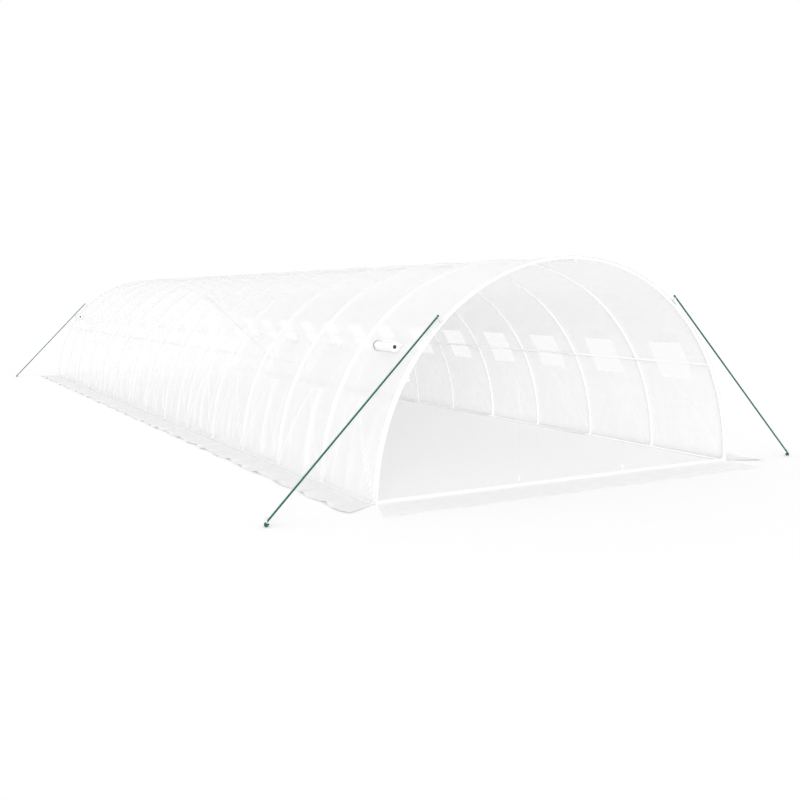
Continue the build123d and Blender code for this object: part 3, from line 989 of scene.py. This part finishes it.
def straight_tube(name, start, end, joints):
    """Tube from one point to another, with a collar at each joint along it."""
    run = Vector(end) - Vector(start)
    way = run.normalized()
    turn = Vector((0, 0, 1)).rotation_difference(way).to_euler()
    piece = start_ring(RAIL_TUBE / 2, start, turn, cap=True)
    centre, done = Vector(start), 0.0
    for joint in joints:
        centre = push_ring(way * (joint - done), centre)
        centre = push_ring(way * COLLAR_STEP, centre, COLLAR_SWELL)
        centre = push_ring(way * COLLAR_LENGTH, centre)
        centre = push_ring(way * COLLAR_STEP, centre, 1 / COLLAR_SWELL)
        done = joint + COLLAR_LENGTH + 2 * COLLAR_STEP
    push_ring(way * (run.length - done), centre)
    return leave_edit(piece, name)


def middle_of(node, axis):
    """Middle of a node along one axis."""
    low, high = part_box(node)
    return (low[axis] + high[axis]) / 2


lengths = len(bay_centres) // LENGTH_BAYS
long_joints = [LENGTH_BAYS * PITCH * number + JOINT_PAST_HOOP for number in range(1, lengths)]
cross_joints = [CROSS_LENGTH, 2 * CROSS_LENGTH]
for node in ("ridge_tube", "left_side_tube", "right_side_tube", "left_ground_tube", "right_ground_tube"):
    x, z = middle_of(node, 0), middle_of(node, 2)
    low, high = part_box(node)
    tube = straight_tube(f"{node}_round", (x, low.y, z), (x, high.y, z), long_joints)
    dress(tube, coated_tube, "tube", node)
for node in ("front_ground_tube", "rear_ground_tube"):
    y, z = middle_of(node, 1), middle_of(node, 2)
    low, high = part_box(node)
    tube = straight_tube(f"{node}_round", (low.x, y, z), (high.x, y, z), cross_joints)
    dress(tube, coated_tube, "tube", node)

# %% [markdown]
# ## Clamps
# Where a straight tube passes a hoop, a bent strap goes round the tube and is bolted to the hoop on both
# sides of it. One strap is made flat side first: a small plate, a half turn round the tube and the second
# plate. On the ground tubes the strap has no room below, so it is cut off there.

# %% Bend one clamp
EAR = 0.020
CLAMP_WIDTH = 0.026
CLAMP_STEEL = 0.0018
CLAMP_GAP = 0.0006
BOLT_RADIUS = 0.0055
BOLT_HEAD = 0.0045
BOLT_EDGE = 0.0006

hoop_face = HOOP_RADIUS - HOOP_TUBE / 2
strap_radius = RAIL_TUBE / 2 + CLAMP_GAP
strap_depth = hoop_face - CLAMP_STEEL - RAIL_RADIUS


def pick(piece, test):
    """Selects the vertices whose place passes a test, in edit mode."""
    bpy.ops.mesh.select_mode(type="VERT")
    bpy.ops.mesh.select_all(action="DESELECT")
    bpy.ops.object.mode_set(mode="OBJECT")
    for vertex in piece.data.vertices:
        vertex.select = test(piece.matrix_world @ vertex.co)
    bpy.ops.object.mode_set(mode="EDIT")


def bolt(x, z):
    """Hexagon bolt head on an ear, facing the middle of the tunnel."""
    deselect()
    bpy.ops.mesh.primitive_cylinder_add(vertices=6, radius=BOLT_RADIUS, depth=BOLT_HEAD,
                                        location=(x - BOLT_HEAD / 2, 0, z), rotation=(0, math.pi / 2, 0))
    head = bpy.context.object
    bpy.ops.object.mode_set(mode="EDIT")
    bpy.ops.mesh.select_all(action="SELECT")
    bpy.ops.mesh.bevel(offset=BOLT_EDGE, segments=1, affect="EDGES")
    return leave_edit(head, "bolt", 20)


def clamp():
    """Strap round a tube at the middle of the +X side, with a bolt in each ear."""
    deselect()
    low_ear = -strap_radius - EAR / 2
    bpy.ops.mesh.primitive_plane_add(size=1, location=(RAIL_RADIUS + strap_depth, 0, low_ear),
                                     rotation=(0, math.pi / 2, 0))
    strap = bpy.context.object
    strap.scale = (EAR, CLAMP_WIDTH, 1)
    bpy.ops.object.transform_apply(location=True, rotation=True, scale=True)
    bpy.ops.object.mode_set(mode="EDIT")
    pick(strap, lambda place: place.z > low_ear)
    bpy.ops.mesh.extrude_region_move(TRANSFORM_OT_translate={"value": (-strap_depth, 0, 0)})
    bpy.ops.mesh.spin(steps=6, angle=math.pi, center=(RAIL_RADIUS, 0, 0), axis=(0, 1, 0))
    bpy.ops.mesh.extrude_region_move(TRANSFORM_OT_translate={"value": (strap_depth, 0, 0)})
    bpy.ops.mesh.extrude_region_move(TRANSFORM_OT_translate={"value": (0, 0, EAR)})
    leave_edit(strap, "strap")
    strap.modifiers.new("steel", "SOLIDIFY").thickness = CLAMP_STEEL
    apply_all(strap)
    ear_face, ear_middle = RAIL_RADIUS + strap_depth - CLAMP_STEEL, strap_radius + EAR / 2
    bolts = [bolt(ear_face, end * ear_middle) for end in (-1, 1)]
    return join([strap, *bolts], "clamp_model")


clamp_model = clamp()
low, high = Vector(clamp_model.bound_box[0]), Vector(clamp_model.bound_box[6])
print("clamp box", [round(v, 4) for v in (*low, *high)], "tube at", round(RAIL_RADIUS, 4))

# %% Fit the clamps
SIDE_TUBE_ANGLE = 30
FOOT_CUT = 0.001

for node, angle in (("ridge", 90), ("left_side", 180 - SIDE_TUBE_ANGLE), ("right_side", SIDE_TUBE_ANGLE)):
    turn = Matrix.Rotation(-math.radians(angle), 4, "Y")
    row = [copy_of(clamp_model, f"{node}_{n}", Matrix.Translation((0, place, 0)) @ turn)
           for n, place in enumerate(hoop_places)]
    dress(join(row, f"{node}_clamps"), coated_tube, "tube")

deselect()
clamp_model.select_set(True)
bpy.context.view_layer.objects.active = clamp_model
bpy.ops.object.mode_set(mode="EDIT")
bpy.ops.mesh.select_all(action="SELECT")
bpy.ops.mesh.bisect(plane_co=(0, 0, FOOT_CUT - RAIL_TUBE / 2), plane_no=(0, 0, 1), clear_inner=True,
                    use_fill=True)
foot_clamp = leave_edit(clamp_model, "foot_clamp_model")
for side_name, angle in (("left", math.pi), ("right", 0)):
    shift = abs(middle_of("right_ground_tube", 0)) - RAIL_RADIUS
    turn = Matrix.Rotation(angle, 4, "Z") @ Matrix.Translation((shift, 0, RAIL_TUBE / 2))
    row = [copy_of(foot_clamp, f"{side_name}_foot_{n}", Matrix.Translation((0, place, 0)) @ turn)
           for n, place in enumerate(hoop_places)]
    dress(join(row, f"{side_name}_foot_clamps"), coated_tube, "tube")
bpy.data.objects.remove(foot_clamp)

# %% [markdown]
# ## Bars and ties of the rolls
# Two tapes tied round each roll keep it up. The first and last flaps on the left side are wound on a dark
# bar, which shows at their ends, and each of them is tied with one dark tape.

# %% Tie up the rolls
TIE_WIDTH = 0.010
TIE_TAPE = 0.0012
TIE_SHARES, BAR_TIE_SHARES = (-0.3, 0.3), (0.47,)
BAR_INSET, BAR_EDGE = 0.001, 0.0015

deselect()
bpy.ops.mesh.primitive_cylinder_add(vertices=28, radius=ROLL_RADIUS + TIE_TAPE, depth=TIE_WIDTH,
                                    end_fill_type="NOTHING", rotation=(math.pi / 2, 0, 0))
tie_model = bpy.context.object
bpy.ops.object.mode_set(mode="EDIT")
leave_edit(tie_model, "tie_model")
tie_model.modifiers.new("tape", "SOLIDIFY").thickness = TIE_TAPE
apply_all(tie_model)

for side_name, side in SIDES:
    ties = {"white": [], "dark": []}
    for bay in range(len(bay_centres)):
        dark = on_bar(bay, side)
        for number, share in enumerate(BAR_TIE_SHARES if dark else TIE_SHARES):
            place = roll_place(roll_middle(bay, side) + share * ROLL_LENGTH, side)
            ties["dark" if dark else "white"].append(
                copy_of(tie_model, f"tie_{side_name}_{bay}_{number}", Matrix.Translation(place)))
    dress(join(ties["white"], f"{side_name}_roll_ties"), flap_tape, "webbing")
    if ties["dark"]:
        dress(join(ties["dark"], f"{side_name}_dark_ties"), grey_tape, "webbing")
bpy.data.objects.remove(tie_model)

bars = []
for bay in range(len(bay_centres)):
    if on_bar(bay, -1):
        start = roll_place(roll_middle(bay, -1) - ROLL_LENGTH / 2 + BAR_INSET, -1)
        piece = start_ring(BAR_RADIUS, start, (-math.pi / 2, 0, 0), cap=True)
        push_ring((0, ROLL_LENGTH - 2 * BAR_INSET, 0), Vector())
        bars.append(leave_edit(piece, f"bar_{bay}"))
        bars[-1].modifiers.new("edge", "BEVEL").width = BAR_EDGE
        apply_all(bars[-1])
dress(join(bars, "roll_bars"), dark_plastic, "tube")

# %% [markdown]
# ## Zips
# Each door closes with a zip up one side, over the top and down the other. A tape is sewn on, with the coil
# along its middle and a slider at both feet.

# %% Sew the zips on
TAPE_HALF, COIL_HALF, COIL_SLOPE = 0.016, 0.003, 0.001
TAPE_PROUD, SLOPE_PROUD, COIL_SIDE, COIL_CREST = 0.0012, 0.0016, 0.0032, 0.0040
ZIP_FOOT = 0.004

for end_name, end in ENDS:
    share = np.linspace(0, 1, 4 * RAYS + 1)
    half = [COIL_HALF, COIL_HALF + COIL_SLOPE, TAPE_HALF]
    offsets = [-offset for offset in half[::-1]] + [0.0] + half
    half_proud = [COIL_SIDE, SLOPE_PROUD, TAPE_PROUD]
    proud = np.array(half_proud[::-1] + [COIL_CREST] + half_proud)
    lines = [door_line(share, offset) for offset in offsets]
    x = np.stack([line[0] for line in lines], axis=1)
    z = np.maximum(np.stack([line[1] for line in lines], axis=1), ZIP_FOOT)
    points = end_points(x, z, end)
    points[..., 1] += end * proud[None, :]
    way = np.broadcast_to((share * (2 * DOOR_HEIGHT + DOOR_WIDTH))[:, None], x.shape)
    flat_map = np.stack([way, np.broadcast_to(np.array(offsets)[None, :], x.shape)], axis=-1)
    zip_tape = sheet_from_grid(f"{end_name}_door_zip", points, flat_map, np.zeros(x.shape), turned=end < 0)
    dress(zip_tape, zip_film, "webbing")

# %% Hang the sliders
SLIDER_SIZE, SLIDER_EDGE = (0.011, 0.006, 0.014), 0.0018
PULL_SIZE, PULL_EDGE = (0.008, 0.0022, 0.030), 0.0009
PULL_PLACE = (0, -0.0045, -0.020)
SLIDER_HEIGHT, SLIDER_PROUD = 0.09, 0.007


def plate(name, size, centre, edge):
    """Flat block with rounded edges."""
    deselect()
    bpy.ops.mesh.primitive_cube_add(size=1, location=centre)
    made = bpy.context.object
    made.scale = size
    bpy.ops.object.transform_apply(location=True, rotation=True, scale=True)
    bpy.ops.object.mode_set(mode="EDIT")
    bpy.ops.mesh.select_all(action="SELECT")
    bpy.ops.mesh.bevel(offset=edge, segments=2, affect="EDGES")
    return leave_edit(made, name)


body = plate("slider", SLIDER_SIZE, (0, 0, 0), SLIDER_EDGE)
slider = join([body, plate("pull", PULL_SIZE, PULL_PLACE, PULL_EDGE)], "slider_model")
sliders = []
for end, turn in ((-1, 0), (1, math.pi)):
    for x in (-DOOR_WIDTH / 2, DOOR_WIDTH / 2):
        out = -END_Y + end_billow(x, SLIDER_HEIGHT) + SLIDER_PROUD
        place = Vector((x, end * out, SLIDER_HEIGHT))
        sliders.append(copy_of(slider, "slider", Matrix.Translation(place) @ Matrix.Rotation(turn, 4, "Z")))
bpy.data.objects.remove(slider)
dress(join(sliders, "zip_sliders"), coated_tube, "tube")

# %% [markdown]
# ## Guy ropes
# A rope is three strands twisted together, so it is swept in code: a line from the tab down to the peg and
# a turn and a half round the peg, and three tubes that wind round that line. A stopper knot keeps its end
# in the ring.

# %% Strands and knots
STRAND = 0.0046
STRAND_OFFSET = 0.0040
LAY = 0.046
ODD_WAY = (0.3, 0.5, 0.8)


def frames_along(line):
    """Direction and two side vectors at each point, carried along without twisting."""
    way = np.gradient(line, axis=0)
    way /= np.linalg.norm(way, axis=1)[:, None]
    side = np.zeros_like(line)
    first = np.cross(way[0], ODD_WAY)
    side[0] = first / np.linalg.norm(first)
    for number in range(1, len(line)):
        carried = side[number - 1] - way[number] * (side[number - 1] @ way[number])
        side[number] = carried / np.linalg.norm(carried)
    return way, side, np.cross(way, side)


def swept(line, radius, sides=7):
    """Points and faces of a closed tube along a line."""
    way, side, other = frames_along(line)
    turn = np.linspace(0, 2 * math.pi, sides, endpoint=False)
    ring = np.cos(turn)[None, :, None] * side[:, None, :] + np.sin(turn)[None, :, None] * other[:, None, :]
    points = (line[:, None, :] + radius * ring).reshape(-1, 3)
    index = np.arange(len(line) * sides).reshape(len(line), sides)
    after = np.roll(index, -1, axis=1)
    faces = np.stack([index[:-1], after[:-1], after[1:], index[1:]], axis=-1).reshape(-1, 4).tolist()
    return points, faces + [index[0][::-1].tolist(), index[-1].tolist()]


def cord_piece(name, tubes):
    """One mesh of several swept tubes."""
    points, faces = [], []
    for some_points, some_faces in tubes:
        faces += [[corner + len(points) for corner in face] for face in some_faces]
        points += some_points.tolist()
    mesh = bpy.data.meshes.new(name)
    mesh.from_pydata(points, [], faces)
    mesh.polygons.foreach_set("use_smooth", np.ones(len(faces), bool))
    mesh.update()
    piece = bpy.data.objects.new(name, mesh)
    bpy.context.scene.collection.objects.link(piece)
    return piece


def strands(line):
    """Three tubes wound round a line."""
    way, side, other = frames_along(line)
    length = np.concatenate([[0], np.linalg.norm(np.diff(line, axis=0), axis=1).cumsum()])
    tubes = []
    for number in range(3):
        turn = 2 * math.pi * (length / LAY + number / 3)
        offset = np.cos(turn)[:, None] * side + np.sin(turn)[:, None] * other
        tubes.append(swept(line + STRAND_OFFSET * offset, STRAND))
    return tubes


def stopper(centre, way, size):
    """Overhand knot round a point, across a direction."""
    t = np.linspace(0, 2 * math.pi, 61)
    knot = np.stack([np.sin(t) + 2 * np.sin(2 * t), np.cos(t) - 2 * np.cos(2 * t), -np.sin(3 * t)], axis=-1)
    turn = np.array(Vector((0, 0, 1)).rotation_difference(Vector(way)).to_matrix())
    return swept(np.array(centre) + size * knot @ turn.T, 1.25 * size, 8)


print("strand", STRAND, "m in radius, one turn in", LAY, "m")

# %% Sweep the ropes
ROPE = 0.014
TIE_HEIGHT = 0.035
PEG_RADIUS = 0.006
TURNS_ON_PEG, HITCH_POINTS = 1.5, 50
HITCH_TOP, HITCH_FOOT = 0.024, 0.001
HITCH_PINCH = 0.4
POINTS_A_TURN = 8
KNOT_SIZE, KNOT_PAST_TOP = 0.0027, 0.004

corner_signs = {"front_left": (-1, -1), "front_right": (1, -1), "rear_left": (-1, 1), "rear_right": (1, 1)}
rope_ends = {}
for corner, (side, end) in corner_signs.items():
    low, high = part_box(f"{corner}_rope")
    peg_x = (high.x if side > 0 else low.x) - side * (PEG_RADIUS + ROPE)
    peg_y = (high.y if end > 0 else low.y) - end * (PEG_RADIUS + ROPE)
    peg = np.array([peg_x, peg_y, 0.0])
    top = np.array([low.x if side > 0 else high.x, hoop_places[0] if end < 0 else hoop_places[-1], high.z])
    run = peg + (0, 0, TIE_HEIGHT) - top
    tail_way = run / np.linalg.norm(run)
    top = top + ROPE / 2 * np.array([side * abs(tail_way[2]), 0, -abs(tail_way[0])])
    ahead = np.array([tail_way[0], tail_way[1], 0]) / math.hypot(tail_way[0], tail_way[1])
    across = np.array([ahead[1], -ahead[0], 0])
    turn = np.linspace(0, 2 * math.pi * TURNS_ON_PEG, HITCH_POINTS)
    loop = np.cos(turn)[:, None] * across + np.sin(turn)[:, None] * ahead
    winding = peg + (PEG_RADIUS + HITCH_PINCH * ROPE) * loop
    winding[:, 2] = np.linspace(HITCH_TOP, ROPE / 2 + HITCH_FOOT, HITCH_POINTS)
    count = int(np.linalg.norm(winding[0] - top) / LAY * POINTS_A_TURN)
    line = np.concatenate([np.linspace(top, winding[0], count)[:-1], winding])
    knot = stopper(top + KNOT_PAST_TOP * tail_way, tail_way, KNOT_SIZE)
    rope = cord_piece(f"{corner}_twisted_rope", strands(line) + [knot])
    dress(rope, green_rope, "rope", f"{corner}_rope")
    rope_ends[corner] = (Vector(peg), Vector(top), Vector(tail_way))

# %% [markdown]
# ## Tabs and pegs
# Each rope is held by a ring in a webbing tab, sewn with a patch to the cover at the end hoop. The peg is a
# steel pin with a round head above the turns of rope.

# %% Sew on the tabs
ROPE_TAIL = 0.020
TAB_LENGTH, TAB_WIDTH, TAB_THICKNESS = 0.045, 0.040, 0.0036
TAB_SHORT, TAB_EDGE = 0.004, 0.0012
PATCH_SIZE, PATCH_PROUD, PATCH_EDGE = (0.0016, 0.038, 0.075), 0.0006, 0.0006
RING_RADIUS, RING_WIRE, RING_PAST_TAB = 0.0105, 0.0018, 0.004

tabs, rings = [], []
for corner, (side, end) in corner_signs.items():
    peg, top, way = rope_ends[corner]
    held = top + way * ROPE_TAIL
    angle = math.atan2(held.z, side * held.x)
    hoop_y = hoop_places[0] if end < 0 else hoop_places[-1]
    strap_length = TAB_LENGTH - TAB_SHORT
    strap = plate("strap", (strap_length, TAB_WIDTH, TAB_THICKNESS), (RADIUS + strap_length / 2, 0, 0),
                  TAB_EDGE)
    patch = plate("patch", PATCH_SIZE, (RADIUS + PATCH_PROUD, 0, 0), PATCH_EDGE)
    deselect()
    bpy.ops.mesh.primitive_torus_add(major_radius=RING_RADIUS, minor_radius=RING_WIRE, major_segments=28,
                                     minor_segments=8, location=(RADIUS + TAB_LENGTH + RING_PAST_TAB, 0, 0))
    ring = bpy.context.object
    bpy.ops.object.transform_apply(location=True, rotation=True, scale=True)
    bpy.ops.object.shade_smooth()
    turn = Matrix.Rotation(-angle, 4, "Y")
    flip = Matrix.Scale(-1, 4, (1, 0, 0)) if side < 0 else Matrix()
    for piece in (strap, patch, ring):
        piece.data.transform(Matrix.Translation((0, hoop_y, 0)) @ flip @ turn)
        if side < 0:
            piece.data.flip_normals()
    tabs += [strap, patch]
    rings.append(ring)
dress(join(tabs, "webbing_tabs"), white_webbing, "webbing", "rope_tabs")
dress(join(rings, "tab_rings"), zinc_steel, "peg")

# %% Drive in the pegs
PEG_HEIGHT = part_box("ground_pegs")[1].z
HEAD = 0.012
head_steps = [(0.0005, 1.7), (HEAD - 0.004, 1.0), (0.0025, 0.85), (0.001, 0.7)]

pegs = []
for corner, (peg, top, way) in rope_ends.items():
    piece = start_ring(PEG_RADIUS, peg, cap=True)
    centre = Vector(peg)
    for rise, grow in [(PEG_HEIGHT - HEAD, 1.0), *head_steps]:
        centre = push_ring((0, 0, rise), centre, grow)
    pegs.append(leave_edit(piece, f"peg_{corner}"))
dress(join(pegs, "steel_pegs"), zinc_steel, "peg", "ground_pegs")
